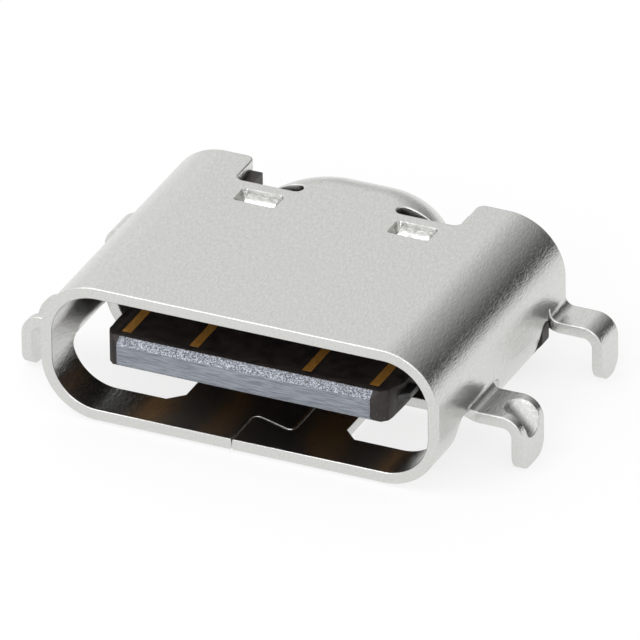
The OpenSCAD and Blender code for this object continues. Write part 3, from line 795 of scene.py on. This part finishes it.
height = shell_bm.verts.layers.float["height"]
pressed = 0
for v in shell_bm.verts:
    x, z = abs(v.co.x) - bend_x, v.co.z - bend_z
    along, up = (x - z) / math.sqrt(2), (x + z) / math.sqrt(2)
    if v.co.z > -LEG_DROP + 0.01 or abs(along) > 0.8 or up < -0.2 or abs(v.co.y - LEG_MIDDLE) > 0.42:
        continue
    outer_face = v[height] > 0
    radius = DIMPLE_R if outer_face else DIMPLE_R + 0.06
    away = math.hypot(max(abs(along) - DIMPLE_REACH, 0), v.co.y - LEG_MIDDLE)
    if away >= radius:
        continue
    floor = BEND + SHEET - DIMPLE_DEPTH + radius - math.sqrt(radius ** 2 - away ** 2)
    if not outer_face:
        floor = min(floor - DIMPLE_WALL, up) + (up - min(floor - DIMPLE_WALL, up)) * smooth(0.7, 1, away / radius)
    new = soft_min(up, floor, 0.015)
    pressed = max(pressed, up - new)
    v.co.x = math.copysign(bend_x + (new + along) / math.sqrt(2), v.co.x)
    v.co.z = bend_z + (new - along) / math.sqrt(2)
print("dimples pressed %.2f mm deep" % pressed)
shell_piece = piece("shell_folded", shell_bm, shell_metal, "shell_steel", "shell")

# %% [markdown]
# ## The moulded and stamped insides
# The tongue, the carrier, the plate and the contacts already have their true shapes in the packed
# model. What they lack is soft edges: a moulding leaves the tool with small radii, and stamping
# rolls an edge over. So each is copied, its loose triangles are merged, and its edges are bevelled.

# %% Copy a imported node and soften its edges
def softened(node, width, material, slot, angle=28, segments=2):
    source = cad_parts[node]
    bm = bmesh.new()
    bm.from_mesh(source.data)
    bmesh.ops.remove_doubles(bm, verts=bm.verts, dist=2e-7)
    bmesh.ops.dissolve_limit(bm, angle_limit=math.radians(1), verts=bm.verts, edges=bm.edges)
    mesh = bpy.data.meshes.new(node + "_soft")
    bm.to_mesh(mesh)
    bm.free()
    holder = bpy.data.objects.new("holder", mesh)
    scene.collection.objects.link(holder)
    bevel = holder.modifiers.new("bevel", "BEVEL")
    bevel.width, bevel.segments = width * 0.001, segments
    bevel.limit_method, bevel.angle_limit = "ANGLE", math.radians(angle)
    bevel.harden_normals = False
    out = bpy.data.meshes.new_from_object(holder.evaluated_get(bpy.context.evaluated_depsgraph_get()))
    bpy.data.objects.remove(holder)
    out.transform(into_frame.inverted())
    return dress(node + "_soft", out, material, slot, node)


softened("housing", 0.02, tongue_black, "housing_black")

# %% [markdown]
# ### Side lugs of the base
# In the slot before each rear leg the base shows a lug with a straight outer face and a cut lower
# corner. Each is a small outline pushed out along the socket and bevelled like the rest.

# %% Side lugs
def side_lugs():
    y0, y1 = REAR_LEG - SLOT + 0.03, REAR_LEG - 0.03
    outer, corner = WIDE + T, 0.22
    outline = [(outer - 0.35, -0.34), (outer - 0.01, -0.34), (outer - 0.01, -0.72), (outer - 0.01 - corner, -0.98),
               (outer - 0.45, -0.98)]
    bm = bmesh.new()
    for side in (1, -1):
        ends = [[bm.verts.new((side * x, y, z)) for x, z in outline] for y in (y0, y1)]
        bm.faces.new(ends[0])
        bm.faces.new(list(reversed(ends[1])))
        for i in range(len(outline)):
            j = (i + 1) % len(outline)
            bm.faces.new((ends[0][j], ends[0][i], ends[1][i], ends[1][j]))
    bmesh.ops.recalc_face_normals(bm, faces=bm.faces)
    bmesh.ops.bevel(bm, geom=list(bm.edges), offset=0.02, segments=2, affect="EDGES")
    return piece("side_lugs", bm, base_black, "housing_black")


side_lugs()

# %% The other insides
softened("terminal_carrier", 0.02, base_black, "carrier_black")
softened("mid_plate", 0.015, plate_metal, "plate_steel")
for node in sorted(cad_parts):
    if "contact" in node:
        softened(node, 0.015, gold, "contact_gold")

# %% [markdown]
# ## Floor, light and camera
# A plain pale floor and two large soft lamps are enough. Bare metal shows what stands round it, so
# the room has a pale sky with a darker band low down, which gives the bends their dark streaks.

# %% Floor
def is_seen(tree):
    """1 for rays from the camera, and for those mirrored or let through, so all see one floor."""
    path = add(tree, "ShaderNodeLightPath", (-600, -200))
    either = maths(tree, "MAXIMUM", path.outputs["Is Camera Ray"], path.outputs["Is Glossy Ray"])
    return maths(tree, "MAXIMUM", either, path.outputs["Is Transmission Ray"])


FLOOR_HALF = 0.6
floor_mesh = bpy.data.meshes.new("floor")
floor_mesh.from_pydata([(x * FLOOR_HALF, y * FLOOR_HALF, 0) for x, y in ((-1, -1), (1, -1), (1, 1), (-1, 1))],
                       [], [(0, 1, 2, 3)])
floor = bpy.data.objects.new("floor", floor_mesh)
scene.collection.objects.link(floor)
floor_paint = bpy.data.materials.new("floor_paint")
floor_paint.use_nodes = True
tree = floor_paint.node_tree
tree.nodes.clear()
out = add(tree, "ShaderNodeOutputMaterial", (600, 0))
paint = add(tree, "ShaderNodeBsdfDiffuse", (0, 100))
paint.inputs["Color"].default_value = (0.9, 0.9, 0.9, 1)
white = add(tree, "ShaderNodeEmission", (0, -100))
white.inputs["Strength"].default_value = 1.0
both_paints = add(tree, "ShaderNodeMixShader", (300, 0),
                  in_0=maths(tree, "MULTIPLY", is_seen(tree), 0.8))
tree.links.new(paint.outputs[0], both_paints.inputs[1])
tree.links.new(white.outputs[0], both_paints.inputs[2])
tree.links.new(both_paints.outputs[0], out.inputs[0])
floor_mesh.materials.append(floor_paint)

# %% World and lamps
DARK_WAY = Vector((0.606, 0.776, 0.174))     # the room's dark side: behind, right and low
world = bpy.data.worlds.new("studio")
scene.world = world
world.use_nodes = True
tree = world.node_tree
way = add(tree, "ShaderNodeTexCoord", (-1200, 0)).outputs["Generated"]
facing = add(tree, "ShaderNodeVectorMath", (-1000, 200), operation="DOT_PRODUCT",
             in_0=way, in_1=tuple(DARK_WAY)).outputs["Value"]
room = ramp(tree, facing, [(0.30, 1.0), (0.48, 0.80), (0.62, 0.62), (0.74, 0.43),
                           (0.86, 0.31), (0.95, 0.17), (1.0, 0.03)], (-700, 200))
rise = add(tree, "ShaderNodeSeparateXYZ", (-1000, -100), in_0=way).outputs[2]
low_band = ramp(tree, rise, [(0.02, 0.62), (0.30, 0.8), (0.48, 1.0)], (-700, -100))
horizon = ramp(tree, rise, [(0.02, 1.0), (0.07, 0.0)], (-700, -350))
dimmed = maths(tree, "MULTIPLY", room, low_band, at=(-400, 100))
shade = add(tree, "ShaderNodeMix", (-200, 100), data_type="FLOAT", in_0=horizon, in_2=dimmed, in_3=0.95).outputs[0]
tree.links.new(shade, tree.nodes["Background"].inputs[0])
tree.nodes["Background"].inputs[1].default_value = 1.18


def lamp(name, place, target, width, power):
    light = bpy.data.lights.new(name, "AREA")
    light.size = width
    light.energy = power
    made = bpy.data.objects.new(name, light)
    made.location = place
    made.rotation_euler = (Vector(target) - Vector(place)).to_track_quat("-Z", "Y").to_euler()
    scene.collection.objects.link(made)
    return made


lamp("top_left_lamp", (-0.10, -0.10, 0.20), (0, 0, 0), 0.10, 0.10)
lamp("mouth_lamp", (0.03, -0.20, 0.10), (0, 0, 0), 0.06, 0.05)

# %% Camera
azimuth, elevation, roll, distance = map(float, (24.91, 29.47, -0.733, 0.42755))
target = Vector((0.0002159, -0.0001891, 0.0013692))
az, el, ro = math.radians(azimuth), math.radians(elevation), math.radians(roll)
back = Vector((math.sin(az) * math.cos(el), -math.cos(az) * math.cos(el), math.sin(el)))
right = Vector((math.cos(az), math.sin(az), 0))
up = back.cross(right)
across = right * math.cos(ro) + up * math.sin(ro)
upward = up * math.cos(ro) - right * math.sin(ro)
pose = Matrix((across, upward, back)).transposed().to_4x4()
pose.translation = target + back * distance
camera_data = bpy.data.cameras.new("camera")
camera_data.lens = 1185.6
camera_data.sensor_width = 36
camera_data.clip_start, camera_data.clip_end = 0.01, 10
camera = bpy.data.objects.new("camera", camera_data)
camera.matrix_world = pose
scene.collection.objects.link(camera)
scene.camera = camera
scene.view_settings.view_transform = "Standard"
